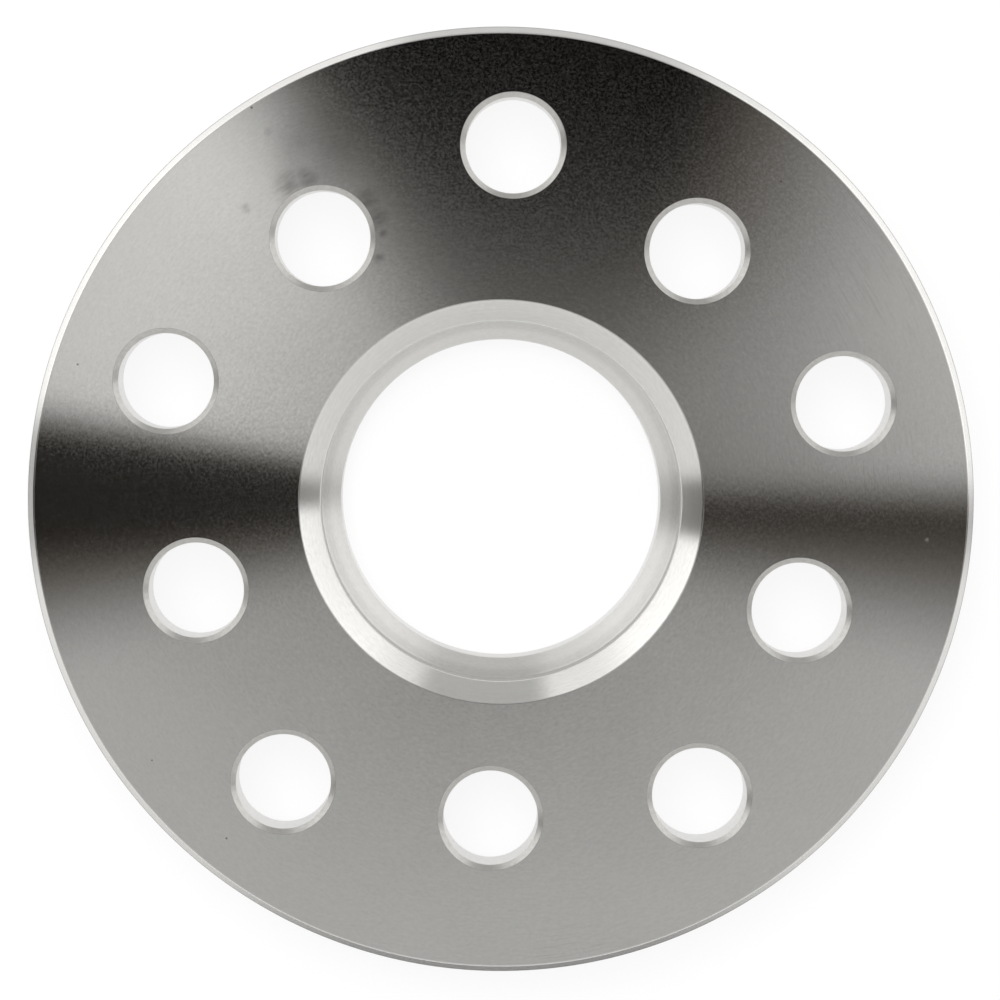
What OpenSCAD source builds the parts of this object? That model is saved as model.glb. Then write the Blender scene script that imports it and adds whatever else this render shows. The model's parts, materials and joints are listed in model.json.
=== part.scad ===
// Hub-centric wheel spacer: one turned and drilled aluminium disc.
// It lies flat on the end of its lip, with the hub side up and its axis on Z.
// The two bolt circles share the disc, with their holes in turn.

/* [Disc] */
// Outer diameter of the disc
disc_d = 149; // [142:0.5:170]
// Thickness between the hub face and the wheel face
disc_t = 10; // [8:0.5:25]
// Leg of the 45 degree chamfer on both rims
rim_chamfer = 1; // [0.4:0.1:2]

/* [Centre] */
// Diameter of the register that sits on the hub
register_d = 57.1; // [54:0.1:62]
// Leg of the 45 degree lead-in cone at the mouth of the register
register_lead_in = 3.2; // [1:0.1:4]
// How much smaller the lip is than the register, on the diameter
lip_clearance = 0.1; // [0:0.05:0.4]
// Height of the lip that centres the wheel
lip_h = 7; // [4:0.5:14]
// Wall of the lip
lip_wall = 3; // [2:0.1:5]
// Leg of the 45 degree lead-in chamfer round the end of the lip
lip_lead_in = 1.5; // [0.5:0.1:1.8]
// Metal left between the cone at the end of the register and the root of the lip
root_wall = 1.45; // [1:0.05:2]

/* [Bolt holes] */
// Holes on each bolt circle
holes_per_circle = 5; // [3:1:6]
// Diameter of the wide bolt circle
wide_pcd = 112; // [108:0.1:116]
// Diameter of the narrow bolt circle
narrow_pcd = 100; // [98:0.1:106]
// Diameter of a bolt hole
bolt_hole_d = 15; // [12:0.1:16]
// Leg of the 45 degree chamfer at both ends of a bolt hole
bolt_hole_chamfer = 0.8; // [0.3:0.1:1.2]

/* [Edges] */
// Radius that the outer edges of the turned section are broken to
edge_break = 0.4; // [0.1:0.05:0.5]

/* [Hidden] */

$fn = 180;
// Straight steps that stand for each broken edge of the section
edge_steps = 4;
// How far a cutter runs past the faces that it opens
cut_past = 1;

disc_r = disc_d / 2;
register_r = register_d / 2;
lip_r = (register_d - lip_clearance) / 2;
lip_bore_r = lip_r - lip_wall;

wheel_face_z = lip_h;
hub_face_z = lip_h + disc_t;

// The cone at the end of the register falls at 45 degrees to the lip's bore,
// and passes the root of the lip at the stated wall
cone_mouth_z = wheel_face_z + root_wall * sqrt(2) + (register_r - lip_r);
cone_throat_z = cone_mouth_z - (register_r - lip_bore_r);

bolt_hole_r = bolt_hole_d / 2;
bolt_hole_step = 180 / holes_per_circle;

function unit(v) = v / norm(v);

// Points of an arc that rounds the corner between two straight runs of an outline
function broken_corner(before, corner, after, radius) =
    let (
        back = unit(before - corner),
        ahead = unit(after - corner),
        half_angle = acos(back * ahead) / 2,
        centre = corner + unit(back + ahead) * radius / sin(half_angle),
        first = corner + back * radius / tan(half_angle) - centre,
        last = corner + ahead * radius / tan(half_angle) - centre,
        sweep = 180 - 2 * half_angle
    )
    [for (i = [0 : edge_steps])
        let (along = sweep * i / edge_steps)
        centre + (first * sin(sweep - along) + last * sin(along)) / sin(sweep)];

// Half section of the disc as [radius, height, is the edge broken], clockwise from the hub face
section = [
    [register_r + register_lead_in, hub_face_z, true],
    [disc_r - rim_chamfer, hub_face_z, true],
    [disc_r, hub_face_z - rim_chamfer, true],
    [disc_r, wheel_face_z + rim_chamfer, true],
    [disc_r - rim_chamfer, wheel_face_z, true],
    [lip_r, wheel_face_z, false],
    [lip_r, lip_lead_in, true],
    [lip_r - lip_lead_in, 0, true],
    [lip_bore_r, 0, true],
    [lip_bore_r, cone_throat_z, true],
    [register_r, cone_mouth_z, false],
    [register_r, hub_face_z - register_lead_in, true]
];

function section_point(i) =
    let (corner = section[i % len(section)])
    [corner[0], corner[1]];

function section_outline() = [
    for (i = [0 : len(section) - 1])
        let (
            before = section_point(i + len(section) - 1),
            corner = section_point(i),
            after = section_point(i + 1)
        )
        for (point = section[i][2] ? broken_corner(before, corner, after, edge_break) : [corner])
            point
];

module turned_blank() {
    rotate_extrude()
        polygon(section_outline());
}

// One drill and its two countersinks, turned as a single cutter
module bolt_hole_cutter() {
    wide_r = bolt_hole_r + bolt_hole_chamfer + cut_past;
    rotate_extrude()
        polygon([
            [0, wheel_face_z - cut_past],
            [wide_r, wheel_face_z - cut_past],
            [bolt_hole_r, wheel_face_z + bolt_hole_chamfer],
            [bolt_hole_r, hub_face_z - bolt_hole_chamfer],
            [wide_r, hub_face_z + cut_past],
            [0, hub_face_z + cut_past]
        ]);
}

// Holes of the two circles in turn, clockwise from the first wide one at the top
module bolt_hole_cutters() {
    for (i = [0 : 2 * holes_per_circle - 1])
        let (circle_r = (i % 2 == 0 ? wide_pcd : narrow_pcd) / 2)
        rotate(90 - i * bolt_hole_step)
            translate([circle_r, 0, 0])
                bolt_hole_cutter();
}

module spacer_disc() {
    color("silver")
        difference() {
            turned_blank();
            bolt_hole_cutters();
        }
}

spacer_disc();
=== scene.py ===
"""Dresses the wheel spacer: one turned aluminium disc on a white table, in soft studio light."""

import json
import math

import bmesh
import bpy
from mathutils import Matrix, Vector


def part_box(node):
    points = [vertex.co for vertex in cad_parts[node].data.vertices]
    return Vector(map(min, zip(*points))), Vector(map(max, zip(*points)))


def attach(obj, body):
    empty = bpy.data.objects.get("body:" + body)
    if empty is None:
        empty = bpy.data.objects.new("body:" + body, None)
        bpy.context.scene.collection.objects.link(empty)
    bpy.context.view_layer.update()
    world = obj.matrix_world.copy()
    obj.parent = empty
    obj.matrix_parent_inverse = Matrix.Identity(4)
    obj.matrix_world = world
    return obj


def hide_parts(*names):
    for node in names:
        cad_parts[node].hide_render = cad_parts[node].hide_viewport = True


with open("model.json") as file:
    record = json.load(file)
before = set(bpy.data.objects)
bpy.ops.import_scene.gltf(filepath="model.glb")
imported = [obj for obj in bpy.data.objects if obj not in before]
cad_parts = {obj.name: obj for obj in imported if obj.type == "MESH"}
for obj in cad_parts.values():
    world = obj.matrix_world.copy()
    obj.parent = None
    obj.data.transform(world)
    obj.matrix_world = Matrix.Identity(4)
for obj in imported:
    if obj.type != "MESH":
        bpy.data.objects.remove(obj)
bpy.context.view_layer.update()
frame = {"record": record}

# Sizes of the spacer, in metres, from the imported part
MM = 0.001
DISC = "spacer_disc"
mounts = {mount["name"]: mount for mount in frame["record"]["mounts"]}
wide_circle = mounts["wide_bolt_circle"]["dims"]
narrow_circle = mounts["narrow_bolt_circle"]["dims"]
box_low, box_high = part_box(DISC)
disc_r = box_high.x
hub_face_z = mounts["hub_face"]["pos_m"][2]
wheel_face_z = mounts["wheel_face"]["pos_m"][2]
register_r = mounts["hub_register"]["dims"]["r_mm"] * MM
lip_r = mounts["wheel_lip"]["dims"]["r_mm"] * MM
lip_bore_r = mounts["lip_bore"]["dims"]["r_mm"] * MM
wide_circle_r = wide_circle["pcd_mm"] * MM / 2
narrow_circle_r = narrow_circle["pcd_mm"] * MM / 2
hole_r = wide_circle["hole_r_mm"] * MM
hole_count = wide_circle["count"] + narrow_circle["count"]

# Cuts that the record doesn't give, as the part has them, apart from the finer break of the holes' edges
rim_chamfer = 1.0 * MM
register_lead_in = 3.2 * MM
lip_lead_in = 1.5 * MM
root_wall = 1.45 * MM
edge_break = 0.4 * MM
hole_chamfer = 0.8 * MM
hole_edge_break = 0.12 * MM
cone_mouth_z = wheel_face_z + root_wall * math.sqrt(2) + (register_r - lip_r)
cone_throat_z = cone_mouth_z - (register_r - lip_bore_r)
cone_h = cone_mouth_z - cone_throat_z

# Fineness of the turned mesh
DISC_SEGMENTS = 300
HOLE_SEGMENTS = 96
EDGE_STEPS = 5
SHARP_ANGLE = math.radians(30)
FLAT_WEIGHT = 100
SAME_PLACE = 0.001 * MM
WALL_MARGIN = 0.02 * MM

# The photograph's view: the camera's foot on the hub face, along the picture's right and up
PICTURE_ROLL = math.radians(1.94)
CAMERA_FOOT_RIGHT = -4.1 * MM
CAMERA_FOOT_UP = 32.2 * MM
CAMERA_HEIGHT = 571 * MM
CAMERA_CLIP = 10 * MM
AIM_RIGHT = -0.2 * MM
AIM_UP = 0.40 * MM
FRAME_WIDTH = 156.95 * MM
SENSOR_WIDTH_MM = 36.0
picture_right = Vector((math.cos(PICTURE_ROLL), math.sin(PICTURE_ROLL), 0))
picture_up = Vector((-math.sin(PICTURE_ROLL), math.cos(PICTURE_ROLL), 0))


# Modelling


def deselect_all():
    if bpy.context.mode != "OBJECT":
        bpy.ops.object.mode_set(mode="OBJECT")
    bpy.ops.object.select_all(action="DESELECT")


def broken_corner(before, corner, after, radius):
    """Points of an arc that rounds the corner between two straight runs of a section."""
    back = (before - corner).normalized()
    ahead = (after - corner).normalized()
    half_angle = back.angle(ahead) / 2
    centre = corner + (back + ahead).normalized() * radius / math.sin(half_angle)
    first = corner + back * radius / math.tan(half_angle) - centre
    last = corner + ahead * radius / math.tan(half_angle) - centre
    sweep = math.pi - 2 * half_angle
    points = []
    for step in range(EDGE_STEPS + 1):
        along = sweep * step / EDGE_STEPS
        blend = first * math.sin(sweep - along) + last * math.sin(along)
        points.append(centre + blend / math.sin(sweep))
    return points


def section_run(corners, radius, sharp=()):
    """A run of a section through the inner corners, with every corner broken but the sharp ones."""
    places = [Vector(corner) for corner in corners]
    run = []
    for before, corner, after, i in zip(places, places[1:], places[2:], range(1, len(places))):
        run += [corner] if i in sharp else broken_corner(before, corner, after, radius)
    return run


def turn_on_lathe(name, run, segments):
    """A skin of revolution about Z: a circle drawn out, ring by ring, along a run of points, each a
    radius and a height."""
    deselect_all()
    first = run[0]
    bpy.ops.mesh.primitive_circle_add(vertices=segments, radius=first.x, location=(0, 0, first.y))
    skin = bpy.context.object
    skin.name = name
    bpy.ops.object.transform_apply(location=True)
    bpy.ops.object.mode_set(mode="EDIT")
    bpy.ops.mesh.select_mode(type="EDGE")
    bpy.ops.mesh.select_all(action="SELECT")
    for last, point in zip(run, run[1:]):
        bpy.ops.mesh.extrude_region_move()
        grow = point.x / last.x
        bpy.ops.transform.resize(value=(grow, grow, 1), center_override=(0, 0, 0))
        bpy.ops.transform.translate(value=(0, 0, point.y - last.y))
    bpy.ops.object.mode_set(mode="OBJECT")
    return skin


def turned_skins():
    """The rim, and the centre from the hub face down through the register and round the lip."""
    hub_mouth = (register_r + register_lead_in, hub_face_z)
    hub_rim = (disc_r - rim_chamfer, hub_face_z)
    wheel_rim = (disc_r - rim_chamfer, wheel_face_z)
    lip_root = (lip_r, wheel_face_z)
    cone_mouth = (register_r, cone_mouth_z)
    rim_corners = [
        hub_mouth,
        hub_rim,
        (disc_r, hub_face_z - rim_chamfer),
        (disc_r, wheel_face_z + rim_chamfer),
        wheel_rim,
        lip_root,
    ]
    centre_corners = [
        hub_rim,
        hub_mouth,
        (register_r, hub_face_z - register_lead_in),
        cone_mouth,
        (lip_bore_r, cone_throat_z),
        (lip_bore_r, 0),
        (lip_r - lip_lead_in, 0),
        (lip_r, lip_lead_in),
        lip_root,
        wheel_rim,
    ]
    inner_corners = (centre_corners.index(cone_mouth), centre_corners.index(lip_root))
    rim = section_run(rim_corners, edge_break)
    centre = section_run(centre_corners, edge_break, sharp=inner_corners)
    return [turn_on_lathe("rim", rim, DISC_SEGMENTS), turn_on_lathe("centre", centre, DISC_SEGMENTS)]


def drilled_skins():
    """One chamfered hole, copied to its places on the two bolt circles in turn, clockwise from +Y."""
    mouth_r = hole_r + hole_chamfer
    flat_r = mouth_r + hole_chamfer
    corners = [
        (flat_r, hub_face_z),
        (mouth_r, hub_face_z),
        (hole_r, hub_face_z - hole_chamfer),
        (hole_r, wheel_face_z + hole_chamfer),
        (mouth_r, wheel_face_z),
        (flat_r, wheel_face_z),
    ]
    pattern = turn_on_lathe("bolt_hole", section_run(corners, hole_edge_break), HOLE_SEGMENTS)
    holes = []
    for i in range(hole_count):
        deselect_all()
        pattern.select_set(True)
        bpy.context.view_layer.objects.active = pattern
        bpy.ops.object.duplicate()
        hole = bpy.context.object
        turn = math.pi / 2 - i * math.tau / hole_count
        circle_r = wide_circle_r if i % 2 == 0 else narrow_circle_r
        hole.location = (circle_r * math.cos(turn), circle_r * math.sin(turn), 0)
        bpy.ops.object.transform_apply(location=True)
        holes.append(hole)
    bpy.data.objects.remove(pattern)
    return holes


def close_face(disc, face_z, material_index):
    """Fills the flat between the rim, the centre and the holes at one height."""
    bpy.ops.mesh.select_all(action="DESELECT")
    mesh = bmesh.from_edit_mesh(disc.data)
    for edge in mesh.edges:
        level = all(abs(vert.co.z - face_z) < SAME_PLACE for vert in edge.verts)
        edge.select_set(edge.is_boundary and level)
    bmesh.update_edit_mesh(disc.data)
    bpy.ops.mesh.fill(use_beauty=True)
    disc.active_material_index = material_index
    bpy.ops.object.material_slot_assign()


def select_register(disc):
    """Selects the faces of the register's straight wall."""
    bpy.ops.mesh.select_all(action="DESELECT")
    mesh = bmesh.from_edit_mesh(disc.data)
    for face in mesh.faces:
        middle = face.calc_center_median()
        at_wall = abs(Vector((middle.x, middle.y)).length - register_r) < WALL_MARGIN
        face.select_set(at_wall and middle.z > wheel_face_z)
    bmesh.update_edit_mesh(disc.data)


def model_disc(faced, turned, bored, drilled):
    """The whole disc in one closed mesh, with finishes for its faces, its turned cuts, its register
    and its holes."""
    skins = turned_skins()
    holes = drilled_skins()
    disc = skins[0]
    for skin in skins:
        skin.data.materials.append(turned)
    for hole in holes:
        hole.data.materials.append(drilled)
    deselect_all()
    for skin in skins + holes:
        skin.select_set(True)
    bpy.context.view_layer.objects.active = disc
    bpy.ops.object.join()
    disc.name = "turned_disc"
    disc.data.name = "turned_disc"
    disc.data.materials.append(faced)
    disc.data.materials.append(bored)
    faced_index = disc.data.materials.find(faced.name)
    bpy.ops.object.mode_set(mode="EDIT")
    bpy.ops.mesh.select_mode(type="EDGE")
    close_face(disc, hub_face_z, faced_index)
    close_face(disc, wheel_face_z, faced_index)
    bpy.ops.mesh.select_mode(type="FACE")
    select_register(disc)
    disc.active_material_index = disc.data.materials.find(bored.name)
    bpy.ops.object.material_slot_assign()
    bpy.ops.mesh.select_all(action="SELECT")
    bpy.ops.mesh.normals_make_consistent(inside=False)
    bpy.ops.object.mode_set(mode="OBJECT")
    bpy.ops.object.shade_smooth_by_angle(angle=SHARP_ANGLE)
    flats = disc.modifiers.new("flat_faces", "WEIGHTED_NORMAL")
    flats.keep_sharp = True
    flats.weight = FLAT_WEIGHT
    bpy.ops.object.modifier_apply(modifier=flats.name)
    return disc


# Finishes


class Nodes:
    """Short calls for a node tree: a socket or a plain value goes into each input."""

    def __init__(self, tree):
        self.tree = tree

    def add(self, kind, **settings):
        node = self.tree.nodes.new(kind)
        for name, value in settings.items():
            setattr(node, name, value)
        return node

    def put(self, value, socket):
        if isinstance(value, bpy.types.NodeSocket):
            self.tree.links.new(value, socket)
        else:
            socket.default_value = value

    def math(self, operation, a, b=0.0, c=0.0):
        node = self.add("ShaderNodeMath", operation=operation)
        for value, socket in zip((a, b, c), node.inputs):
            self.put(value, socket)
        return node.outputs[0]

    def line(self, value, slope, start):
        """The value times a slope, on top of a start."""
        return self.math("MULTIPLY_ADD", value, slope, start)

    def vector(self, operation, a, b=(0, 0, 0)):
        node = self.add("ShaderNodeVectorMath", operation=operation)
        self.put(a, node.inputs[0])
        self.put(b, node.inputs[1])
        return node.outputs["Value" if operation in ("DOT_PRODUCT", "LENGTH", "DISTANCE") else "Vector"]

    def join(self, x, y, z):
        node = self.add("ShaderNodeCombineXYZ")
        for value, socket in zip((x, y, z), node.inputs):
            self.put(value, socket)
        return node.outputs[0]

    def split(self, vector):
        node = self.add("ShaderNodeSeparateXYZ")
        self.put(vector, node.inputs[0])
        return node.outputs

    def ease(self, value, low, high, to_low=0.0, to_high=1.0):
        """A smooth step from to_low to to_high, as the value goes from low to high."""
        node = self.add("ShaderNodeMapRange", interpolation_type="SMOOTHSTEP")
        for given, socket in zip((value, low, high, to_low, to_high), node.inputs):
            self.put(given, socket)
        return node.outputs[0]

    def noise(self, vector, scale, detail=2.0, roughness=0.5):
        node = self.add("ShaderNodeTexNoise")
        self.put(vector, node.inputs["Vector"])
        node.inputs["Scale"].default_value = scale
        node.inputs["Detail"].default_value = detail
        node.inputs["Roughness"].default_value = roughness
        return node.outputs[0]

    def blend(self, factor, a, b):
        node = self.add("ShaderNodeMix", data_type="FLOAT")
        for given, socket in zip((factor, a, b), (node.inputs[0], node.inputs[2], node.inputs[3])):
            self.put(given, socket)
        return node.outputs[0]

    def blend_colour(self, factor, a, b):
        node = self.add("ShaderNodeMix", data_type="RGBA")
        self.put(factor, node.inputs["Factor"])
        self.put(a, node.inputs["A"])
        self.put(b, node.inputs["B"])
        return node.outputs["Result"]

    def mix_shaders(self, factor, a, b):
        node = self.add("ShaderNodeMixShader")
        for given, socket in zip((factor, a, b), node.inputs):
            self.put(given, socket)
        return node.outputs[0]


BRIGHT_ALUMINIUM = (0.96, 0.952, 0.935, 1)
ALUMINIUM = (0.86, 0.855, 0.84, 1)
FACED_ALUMINIUM = (0.80, 0.792, 0.775, 1)
# A darker aluminium, which is also the colour of the painted shade on the turned cuts
DARKER_ALUMINIUM = (0.74, 0.73, 0.71, 1)
BORED_ALUMINIUM = (0.60, 0.59, 0.57, 1)
DARK_BORE = (0.48, 0.47, 0.45, 1)
DARK_DIRT = (0.22, 0.21, 0.20, 1)


def metal(name, roughness, anisotropy):
    """A bare metal with its shader, whose highlight is drawn out along its tangent, and the place on
    the piece. The roughness is a middle one, which each finish then varies."""
    material = bpy.data.materials.new(name)
    material.use_nodes = True
    nodes = Nodes(material.node_tree)
    shader = material.node_tree.nodes["Principled BSDF"]
    shader.inputs["Base Color"].default_value = ALUMINIUM
    shader.inputs["Metallic"].default_value = 1.0
    shader.inputs["Roughness"].default_value = roughness
    shader.inputs["Anisotropic"].default_value = anisotropy
    place = nodes.add("ShaderNodeTexCoord").outputs["Object"]
    return material, nodes, shader, place


# Marks on the hub face: millimetres right of and above its middle in the picture, and a radius
SMEARS = [
    (-33.2, 49.6, 3.6),
    (-30.6, 50.6, 2.8),
    (-21.2, 47.4, 2.8),
    (-19.4, 44.6, 2.6),
    (-19.2, 38.4, 1.5),
    (-40.0, 46.1, 1.2),
    (-18.5, 42.2, 1.1),
]
HAZE = [(-29.0, 55.4, 9.5)]
PITS = [
    (-66.4, 21.7, 0.25),
    (-39.0, 61.8, 0.3),
    (-55.1, -40.7, 0.2),
    (-43.4, -53.1, 0.25),
    (43.8, 50.3, 0.2),
]
SCUFFS = [(-24.2, 49.8, 1.1), (-36.4, 58.0, 1.0), (67.0, -5.9, 0.5)]
WORN = [(51.0, 40.0, 32.0)]


def spots(nodes, place, marks, solid_share):
    """A mask of round marks on the hub face, each solid to a share of its radius and then fading."""
    mask = 0.0
    for right_mm, up_mm, radius_mm in marks:
        centre = (picture_right * right_mm + picture_up * up_mm) * MM + Vector((0, 0, hub_face_z))
        off = nodes.vector("DISTANCE", place, centre)
        mark = nodes.ease(off, radius_mm * MM * solid_share, radius_mm * MM, 1.0, 0.0)
        mask = nodes.math("MAXIMUM", mark, mask)
    return mask


def off_middle(nodes, place):
    """The distance of a place from the disc's axis, and the unit vector out to it."""
    x, y, _ = nodes.split(place)
    outward = nodes.join(x, y, 0.0)
    return nodes.vector("LENGTH", outward), nodes.vector("NORMALIZE", outward)


def cut_streaks(nodes, place, turn, lines_per_metre, detail=2.0):
    """Noise drawn out round the axis as a lathe leaves it. A larger turn gives shorter streaks, and none
    gives whole rings."""
    radius, outward = off_middle(nodes, place)
    out_x, out_y, _ = nodes.split(outward)
    along_section = nodes.math("ADD", radius, nodes.split(place)[2])
    path = nodes.join(
        nodes.math("MULTIPLY", out_x, turn),
        nodes.math("MULTIPLY", out_y, turn),
        nodes.math("MULTIPLY", along_section, lines_per_metre),
    )
    return nodes.noise(path, scale=1.0, detail=detail)


def facing_hairlines(nodes, place):
    """Fine broken rings in patches, most of them on the worn side of the hub face."""
    worn_weight = 0.25
    patches = nodes.noise(place, scale=38.0, detail=2.0)
    patches = nodes.line(spots(nodes, place, WORN, solid_share=0.3), worn_weight, patches)
    fine_rings = cut_streaks(nodes, place, turn=9.0, lines_per_metre=3200.0)
    return nodes.math("MULTIPLY", nodes.ease(fine_rings, 0.54, 0.66), nodes.ease(patches, 0.6, 0.78))


def hub_face_dirt(nodes, place, mottle):
    """A broken haze and streaked smears by one hole, and a few dark pits."""
    pit_darkness = 0.8
    smear_grain = cut_streaks(nodes, place, turn=20.0, lines_per_metre=1500.0, detail=3.0)
    smear_grain = nodes.ease(smear_grain, 0.3, 0.65, 0.25, 0.55)
    smears = nodes.math("MULTIPLY", spots(nodes, place, SMEARS, solid_share=0.0), smear_grain)
    haze_grain = nodes.ease(mottle, 0.35, 0.65, 0.2, 0.5)
    haze = nodes.math("MULTIPLY", spots(nodes, place, HAZE, solid_share=0.2), haze_grain)
    pits = nodes.math("MULTIPLY", spots(nodes, place, PITS, solid_share=0.3), pit_darkness)
    return nodes.math("MAXIMUM", nodes.math("ADD", haze, smears), pits)


def faced_metal():
    """The two flats: a fine facing cut with a speckle, short streaks along the cut and hairlines, and
    dirt and scuffs on the hub face. The cut is duller and stronger near the bore than at the rim."""
    streak_share = 0.3
    mottle_share = 0.3
    speckle_share = 0.4
    grain_middle = 0.5
    grain_at_bore = 0.47
    grain_at_rim = 0.25
    dull_at_bore = 0.75
    hairline_dulling = 0.38
    roughness_at_bore = 0.075
    roughness_at_rim = 0.066
    grains_spread = 0.014
    scratches_most = 0.013
    scuffs_weight = 0.10
    hairlines_weight = 0.008
    speckle_relief = 0.2
    hairline_relief = -0.3
    relief_height = 0.0008 * MM
    across_cut = 1.36

    material, nodes, shader, place = metal("faced_aluminium", roughness=0.07, anisotropy=1.0)
    nodes.put(place, shader.inputs["Tangent"])
    radius, _ = off_middle(nodes, place)
    x, y, _ = nodes.split(place)
    drawn_out = nodes.join(x, y, nodes.math("MULTIPLY", radius, across_cut))

    # Marks of the facing cut, and wear
    streaks = cut_streaks(nodes, place, turn=40.0, lines_per_metre=3000.0)
    speckle = nodes.noise(drawn_out, scale=1360.0, detail=1.0)
    mottle = nodes.noise(place, scale=60.0, detail=3.0, roughness=0.6)
    grain = nodes.line(streaks, streak_share, nodes.math("MULTIPLY", mottle, mottle_share))
    grain = nodes.line(speckle, speckle_share, grain)
    hairlines = facing_hairlines(nodes, place)
    dirt = hub_face_dirt(nodes, place, mottle)
    scuffs = spots(nodes, place, SCUFFS, solid_share=0.2)

    # Colour
    darkening = nodes.ease(radius, register_r, disc_r, dull_at_bore, 0.0)
    plain = nodes.blend_colour(darkening, FACED_ALUMINIUM, BORED_ALUMINIUM)
    contrast = nodes.ease(radius, register_r, disc_r, grain_at_bore, grain_at_rim)
    shade = nodes.line(nodes.math("SUBTRACT", grain, grain_middle), contrast, 1.0)
    colour = nodes.vector("MULTIPLY", plain, nodes.join(shade, shade, shade))
    dulled = nodes.math("MULTIPLY", hairlines, hairline_dulling)
    colour = nodes.blend_colour(dulled, colour, BORED_ALUMINIUM)
    nodes.put(nodes.blend_colour(dirt, colour, DARK_DIRT), shader.inputs["Base Color"])

    # Roughness
    roughness = nodes.ease(radius, register_r, disc_r, roughness_at_bore, roughness_at_rim)
    grains = nodes.noise(place, scale=2400.0, detail=1.0)
    scratches = nodes.noise(drawn_out, scale=1900.0, detail=1.0)
    roughness = nodes.math("ADD", nodes.ease(grains, 0.25, 0.75, -grains_spread, grains_spread), roughness)
    roughness = nodes.math("ADD", nodes.ease(scratches, 0.5, 0.75, 0.0, scratches_most), roughness)
    roughness = nodes.line(scuffs, scuffs_weight, roughness)
    roughness = nodes.line(hairlines, hairlines_weight, roughness)
    nodes.put(roughness, shader.inputs["Roughness"])

    # Relief
    bump = nodes.add("ShaderNodeBump")
    bump.inputs["Strength"].default_value = 1.0
    bump.inputs["Distance"].default_value = relief_height
    height = nodes.line(speckle, speckle_relief, streaks)
    nodes.put(nodes.line(hairlines, hairline_relief, height), bump.inputs["Height"])
    nodes.put(bump.outputs[0], shader.inputs["Normal"])
    return material


def turned_metal():
    """The cones, the lip and the rim: a satin cut, brighter than the faces and brightest on the rim's
    chamfers, with painted light at the bottom of the inner cone and painted shade up it towards the
    step, and painted shade on the rim's wall."""
    rings_share = 0.5
    streaks_share = 0.5
    # Where the painted shade up the inner cone begins, and where it is full
    cone_shade_from_z = cone_throat_z + 0.35 * cone_h
    cone_shade_to_z = cone_throat_z + 0.85 * cone_h
    wall_from_r = disc_r - 0.25 * rim_chamfer
    rim_from_r = 1.5 * register_r
    rim_to_r = 2.0 * register_r
    lead_in_to_r = register_r + register_lead_in
    plain_roughness = 0.20
    rougher_below_mouth = 0.11
    rougher_feed = 0.02

    material, nodes, shader, place = metal("turned_aluminium", roughness=0.21, anisotropy=0.85)
    nodes.put(place, shader.inputs["Tangent"])
    radius, _ = off_middle(nodes, place)
    height = nodes.split(place)[2]
    rings = cut_streaks(nodes, place, turn=0.0, lines_per_metre=3000.0)
    streaks = cut_streaks(nodes, place, turn=35.0, lines_per_metre=3000.0)
    feed = nodes.line(rings, rings_share, nodes.math("MULTIPLY", streaks, streaks_share))

    below_mouth = nodes.ease(height, cone_mouth_z - edge_break, cone_mouth_z + edge_break, 1.0, 0.0)
    # Painted shade up the inner cone towards the step, and painted light at its bottom
    cone_painted_shade = nodes.ease(height, cone_shade_from_z, cone_shade_to_z, to_low=-0.15, to_high=0.45)
    up_lead_in = nodes.ease(radius, register_r, lead_in_to_r, to_low=0.0, to_high=0.2)
    at_rim = nodes.ease(radius, rim_from_r, rim_to_r, to_low=0.0, to_high=-0.5)
    # Painted shade on the rim's wall
    rim_wall_painted_shade = nodes.ease(radius, wall_from_r, disc_r, to_low=0.0, to_high=1.1)
    # How far each place goes to the darker aluminium: the feed's grain, plus the painted shade and light
    darkening = nodes.ease(feed, 0.3, 0.7, to_low=0.0, to_high=0.45)
    darkening = nodes.line(below_mouth, cone_painted_shade, darkening)
    for change in (up_lead_in, at_rim, rim_wall_painted_shade):
        darkening = nodes.math("ADD", darkening, change)
    nodes.put(nodes.blend_colour(darkening, BRIGHT_ALUMINIUM, DARKER_ALUMINIUM), shader.inputs["Base Color"])
    roughness = nodes.line(below_mouth, rougher_below_mouth, plain_roughness)
    nodes.put(nodes.line(feed, rougher_feed, roughness), shader.inputs["Roughness"])
    return material


def bored_metal():
    """The register's straight wall, bored with a coarser feed and duller than the cones beside it."""
    smoothest = 0.29
    roughest = 0.35
    material, nodes, shader, place = metal("bored_aluminium", roughness=0.32, anisotropy=0.6)
    nodes.put(place, shader.inputs["Tangent"])
    feed = nodes.ease(cut_streaks(nodes, place, turn=0.0, lines_per_metre=2000.0), 0.3, 0.7)
    nodes.put(nodes.blend_colour(feed, DARKER_ALUMINIUM, DARK_BORE), shader.inputs["Base Color"])
    nodes.put(nodes.ease(feed, 0.0, 1.0, smoothest, roughest), shader.inputs["Roughness"])
    return material


def drilled_metal():
    """The bolt holes, bright on their walls and duller on their chamfers, drawn out along their axes."""
    smoothest = 0.35
    roughest = 0.41
    middle_z = (hub_face_z + wheel_face_z) / 2
    wall_half = (hub_face_z - wheel_face_z) / 2 - hole_chamfer
    material, nodes, shader, place = metal("drilled_aluminium", roughness=0.38, anisotropy=0.4)
    nodes.put(nodes.join(0.0, 0.0, 1.0), shader.inputs["Tangent"])
    speckle = nodes.noise(place, scale=1500.0, detail=2.0)
    from_middle = nodes.math("ABSOLUTE", nodes.math("SUBTRACT", nodes.split(place)[2], middle_z))
    sunk = nodes.ease(from_middle, wall_half - hole_edge_break, wall_half + hole_edge_break)
    wall = nodes.blend_colour(speckle, BRIGHT_ALUMINIUM, ALUMINIUM)
    countersink = nodes.blend_colour(speckle, DARKER_ALUMINIUM, BORED_ALUMINIUM)
    nodes.put(nodes.blend_colour(sunk, wall, countersink), shader.inputs["Base Color"])
    nodes.put(nodes.ease(speckle, 0.3, 0.7, smoothest, roughest), shader.inputs["Roughness"])
    return material


# Set

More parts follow.
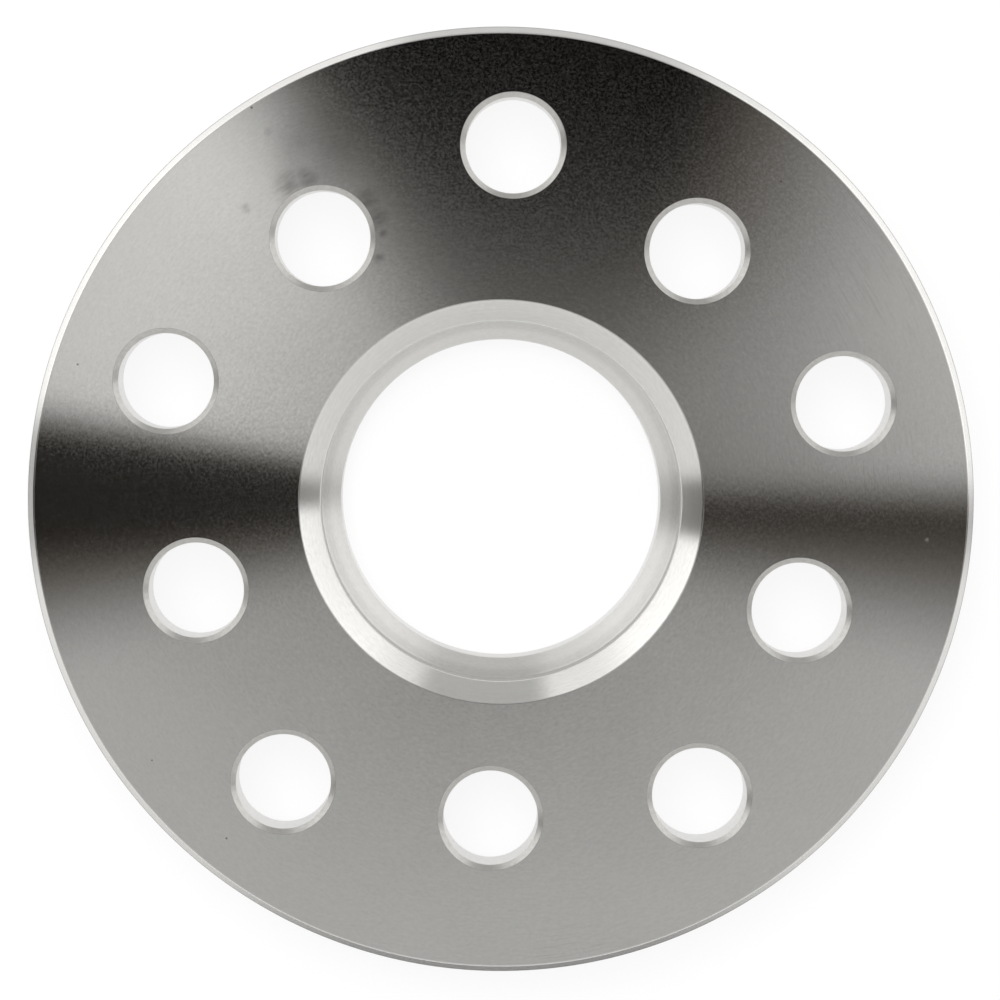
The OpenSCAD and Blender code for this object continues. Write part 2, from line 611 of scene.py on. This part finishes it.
FLOOR_SIZE = 6.0
KEY_SIZE = 0.8
KEY_ENERGY = 13.0
KEY_PLACE = Vector((-0.15, 0.3, 1.2))


def white_table():
    """A white light table that keeps a faint shadow of the disc. The camera sees it white all over. The
    metal sees it lit under and close round the disc, and farther off on all sides but the near one."""
    grey_to_camera = 0.9
    polish_roughness = 0.15
    polish_ior = 1.5
    white_share = 0.86
    near_lit_share = 0.95
    far_lit_share = 0.6
    unlit_r = 1.3 * disc_r
    far_lit_r = 2.3 * disc_r

    material = bpy.data.materials.new("white_table")
    material.use_nodes = True
    tree = material.node_tree
    nodes = Nodes(tree)
    tree.nodes.remove(tree.nodes["Principled BSDF"])
    path = nodes.add("ShaderNodeLightPath").outputs
    place = nodes.add("ShaderNodeTexCoord").outputs["Object"]
    off_axis = nodes.vector("LENGTH", place)
    to_top = nodes.vector("DOT_PRODUCT", nodes.vector("NORMALIZE", place), picture_up)

    # The table's own surface, a polished matt one, with painted shade on its near side
    matt = nodes.add("ShaderNodeBsdfDiffuse")
    # Painted shade: what the metal sees of the table is darker on the near side, while the camera sees it
    # pale
    matt_grey_and_shade = nodes.ease(to_top, -1.0, -0.75, 0.09, 0.32)
    matt_grey_and_shade = nodes.blend(path["Is Camera Ray"], matt_grey_and_shade, grey_to_camera)
    nodes.put(nodes.join(matt_grey_and_shade, matt_grey_and_shade, matt_grey_and_shade), matt.inputs["Color"])
    polish = nodes.add("ShaderNodeBsdfGlossy")
    shine_and_shade = nodes.ease(to_top, -1.0, -0.75, 0.2, 0.8)
    nodes.put(nodes.join(shine_and_shade, shine_and_shade, shine_and_shade), polish.inputs["Color"])
    polish.inputs["Roughness"].default_value = polish_roughness
    gloss = nodes.add("ShaderNodeFresnel")
    gloss.inputs["IOR"].default_value = polish_ior
    surface = nodes.mix_shaders(gloss.outputs[0], matt.outputs[0], polish.outputs[0])

    # The white light in the table
    white = nodes.add("ShaderNodeEmission")
    white.inputs["Strength"].default_value = 1.0
    near_lit = nodes.ease(off_axis, disc_r, unlit_r, near_lit_share, 0.0)
    far_lit = nodes.ease(off_axis, unlit_r, far_lit_r)
    far_lit = nodes.math("MULTIPLY", far_lit, nodes.ease(to_top, -1.0, -0.3, 0.0, far_lit_share))
    lit = nodes.math("MAXIMUM", near_lit, far_lit)
    seen = nodes.math("MULTIPLY", path["Is Glossy Ray"], lit)
    seen = nodes.math("MAXIMUM", seen, path["Is Camera Ray"])
    seen = nodes.math("MAXIMUM", seen, path["Is Transmission Ray"])
    table = nodes.mix_shaders(nodes.math("MULTIPLY", seen, white_share), surface, white.outputs[0])
    nodes.put(table, tree.nodes["Material Output"].inputs["Surface"])
    return material


def lay_floor():
    """The table that the disc lies on."""
    deselect_all()
    bpy.ops.mesh.primitive_plane_add(size=FLOOR_SIZE, location=(0, 0, box_low.z))
    floor = bpy.context.object
    floor.name = "floor"
    floor.data.materials.append(white_table())


def break_sides(nodes, right, up):
    """How far a direction is past the dark break, which runs from left to right over the disc, on the
    panels' side and on the bounce's side, each from 0 to 1."""
    break_offset = 0.0555
    break_lean = 0.038
    half_break_most = 0.10
    bounce_soft_most = 0.12
    off_break = nodes.math("ADD", nodes.line(right, break_lean, up), break_offset)
    before_break = nodes.math("MULTIPLY", off_break, -1.0)
    leftward = nodes.math("MAXIMUM", nodes.math("MULTIPLY", right, -1.0), 0.0)
    rightward = nodes.math("MAXIMUM", right, 0.0)
    sideways = nodes.math("ABSOLUTE", right)
    half_break = nodes.line(leftward, slope=0.082, start=0.0016)
    half_break = nodes.line(rightward, slope=-0.02, start=half_break)
    half_break = nodes.line(nodes.math("MULTIPLY", right, right), slope=0.04, start=half_break)
    half_break = nodes.math("MINIMUM", half_break, half_break_most)
    panel_soft = nodes.line(sideways, slope=0.087, start=0.006)
    bounce_soft = nodes.math("MINIMUM", nodes.line(sideways, slope=0.29, start=0.012), bounce_soft_most)
    panel_side = nodes.ease(off_break, half_break, nodes.math("ADD", half_break, panel_soft))
    bounce_side = nodes.ease(before_break, half_break, nodes.math("ADD", half_break, bounce_soft))
    return panel_side, bounce_side


def panel_shares(nodes, right, up):
    """How far a direction is on the left and on the right panel, each from 0 to 1. The gap between the
    panels widens towards the floor."""
    left_starts_most = -0.16
    left_whole_most = -0.305
    upward = nodes.math("MAXIMUM", up, 0.0)
    left_starts = nodes.line(upward, slope=-0.83, start=0.017)
    left_starts = nodes.math("MAXIMUM", left_starts, left_starts_most)
    left_whole = nodes.line(upward, slope=-0.49, start=-0.061)
    left_whole = nodes.math("MAXIMUM", left_whole, left_whole_most)
    right_starts = nodes.line(upward, slope=0.365, start=0.032)
    right_whole = nodes.line(upward, slope=0.40, start=0.152)
    left_panel = nodes.ease(right, left_whole, left_starts, 1.0, 0.0)
    right_panel = nodes.ease(right, right_starts, right_whole)
    return left_panel, right_panel


def room_level(nodes, right, up, high):
    """The light of the room from a direction. Everything is brighter near the floor than overhead."""
    left_near_floor = 1.53
    right_near_floor = 1.43
    bounce_near_floor = 0.98
    overhead = nodes.ease(high, 0.15, 0.65)
    panel_overhead = nodes.ease(high, 0.2, 0.8)
    far_up = nodes.ease(up, 0.66, 0.88, 1.0, 0.70)
    left_overhead = nodes.ease(right, -0.2, 0.0, 0.54, 0.86)
    left_level = nodes.blend(panel_overhead, left_near_floor, left_overhead)
    left_level = nodes.math("MULTIPLY", left_level, far_up)
    right_overhead = nodes.ease(right, 0.0, 0.2, 0.48, 0.58)
    right_overhead = nodes.math("MULTIPLY", right_overhead, nodes.ease(up, -0.1, 0.1, 0.85, 1.15))
    right_level = nodes.blend(panel_overhead, right_near_floor, right_overhead)
    right_level = nodes.math("MULTIPLY", right_level, far_up)
    gap_overhead = nodes.ease(up, -0.032, 0.026, 0.25, 0.0)
    gap_level = nodes.math("ADD", gap_overhead, nodes.ease(high, 0.86, 0.97, 0.47, 0.0))
    break_overhead = nodes.ease(right, -0.05, 0.1, 0.015, 0.043)
    break_level = nodes.math("ADD", break_overhead, nodes.ease(high, 0.0, 0.9, 0.08, 0.0))
    bounce_overhead = nodes.ease(up, -0.2, -0.05, 0.475, 0.455)
    bounce_level = nodes.blend(overhead, bounce_near_floor, bounce_overhead)

    panel_side, bounce_side = break_sides(nodes, right, up)
    left_panel, right_panel = panel_shares(nodes, right, up)
    panels = nodes.blend(left_panel, gap_level, left_level)
    panels = nodes.blend(right_panel, panels, right_level)
    room = nodes.blend(panel_side, break_level, panels)
    return nodes.blend(bounce_side, room, bounce_level)


def light_room():
    """A soft room: two wide panels past the top of the picture with a gap between them, a pale
    bounce past the bottom, and a thin dark break between the panels and the bounce."""
    dim_tint = (1.0, 0.89, 0.76, 1)
    panel_tint = (1.0, 0.998, 0.985, 1)
    white = (1, 1, 1, 1)
    world = bpy.data.worlds.new("soft_room")
    bpy.context.scene.world = world
    world.use_nodes = True
    tree = world.node_tree
    nodes = Nodes(tree)
    way = nodes.add("ShaderNodeTexCoord").outputs["Generated"]
    right = nodes.vector("DOT_PRODUCT", way, picture_right)
    up = nodes.vector("DOT_PRODUCT", way, picture_up)
    high = nodes.math("MAXIMUM", nodes.split(way)[2], 0.0)
    room = room_level(nodes, right, up, high)

    # The camera itself sees plain white past the floor's edge
    camera_ray = nodes.add("ShaderNodeLightPath").outputs["Is Camera Ray"]
    tint = nodes.blend_colour(nodes.ease(room, 0.0, 0.3), dim_tint, panel_tint)
    background = tree.nodes["Background"]
    nodes.put(nodes.blend_colour(camera_ray, tint, white), background.inputs["Color"])
    nodes.put(nodes.math("MAXIMUM", room, camera_ray), background.inputs["Strength"])


def hang_key_lamp():
    """A soft lamp above that casts the disc's shadow on the floor and doesn't show in the metal."""
    key = bpy.data.lights.new("key", "AREA")
    key.size = KEY_SIZE
    key.energy = KEY_ENERGY
    lamp = bpy.data.objects.new("key", key)
    lamp.location = KEY_PLACE
    lamp.rotation_euler = (-KEY_PLACE).to_track_quat("-Z", "Y").to_euler()
    lamp.visible_camera = False
    lamp.visible_glossy = False
    bpy.context.scene.collection.objects.link(lamp)


def set_camera():
    """The photograph's view: well above the disc, past its middle towards the top of the picture."""
    camera = bpy.data.cameras.new("camera")
    camera.sensor_width = SENSOR_WIDTH_MM
    camera.lens = SENSOR_WIDTH_MM * CAMERA_HEIGHT / FRAME_WIDTH
    camera.clip_start = CAMERA_CLIP
    view = bpy.data.objects.new("camera", camera)
    bpy.context.scene.collection.objects.link(view)
    foot = picture_right * CAMERA_FOOT_RIGHT + picture_up * CAMERA_FOOT_UP
    view.location = foot + Vector((0, 0, hub_face_z + CAMERA_HEIGHT))
    aim = picture_right * AIM_RIGHT + picture_up * AIM_UP + Vector((0, 0, hub_face_z))
    back = (view.location - aim).normalized()
    side = picture_up.cross(back).normalized()
    top = back.cross(side)
    view.rotation_euler = Matrix((side, top, back)).transposed().to_euler()
    bpy.context.scene.camera = view


bpy.context.scene.view_settings.view_transform = "Standard"
set_camera()
disc = model_disc(faced_metal(), turned_metal(), bored_metal(), drilled_metal())
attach(disc, "root")
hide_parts(DISC)
lay_floor()
light_room()
hang_key_lamp()
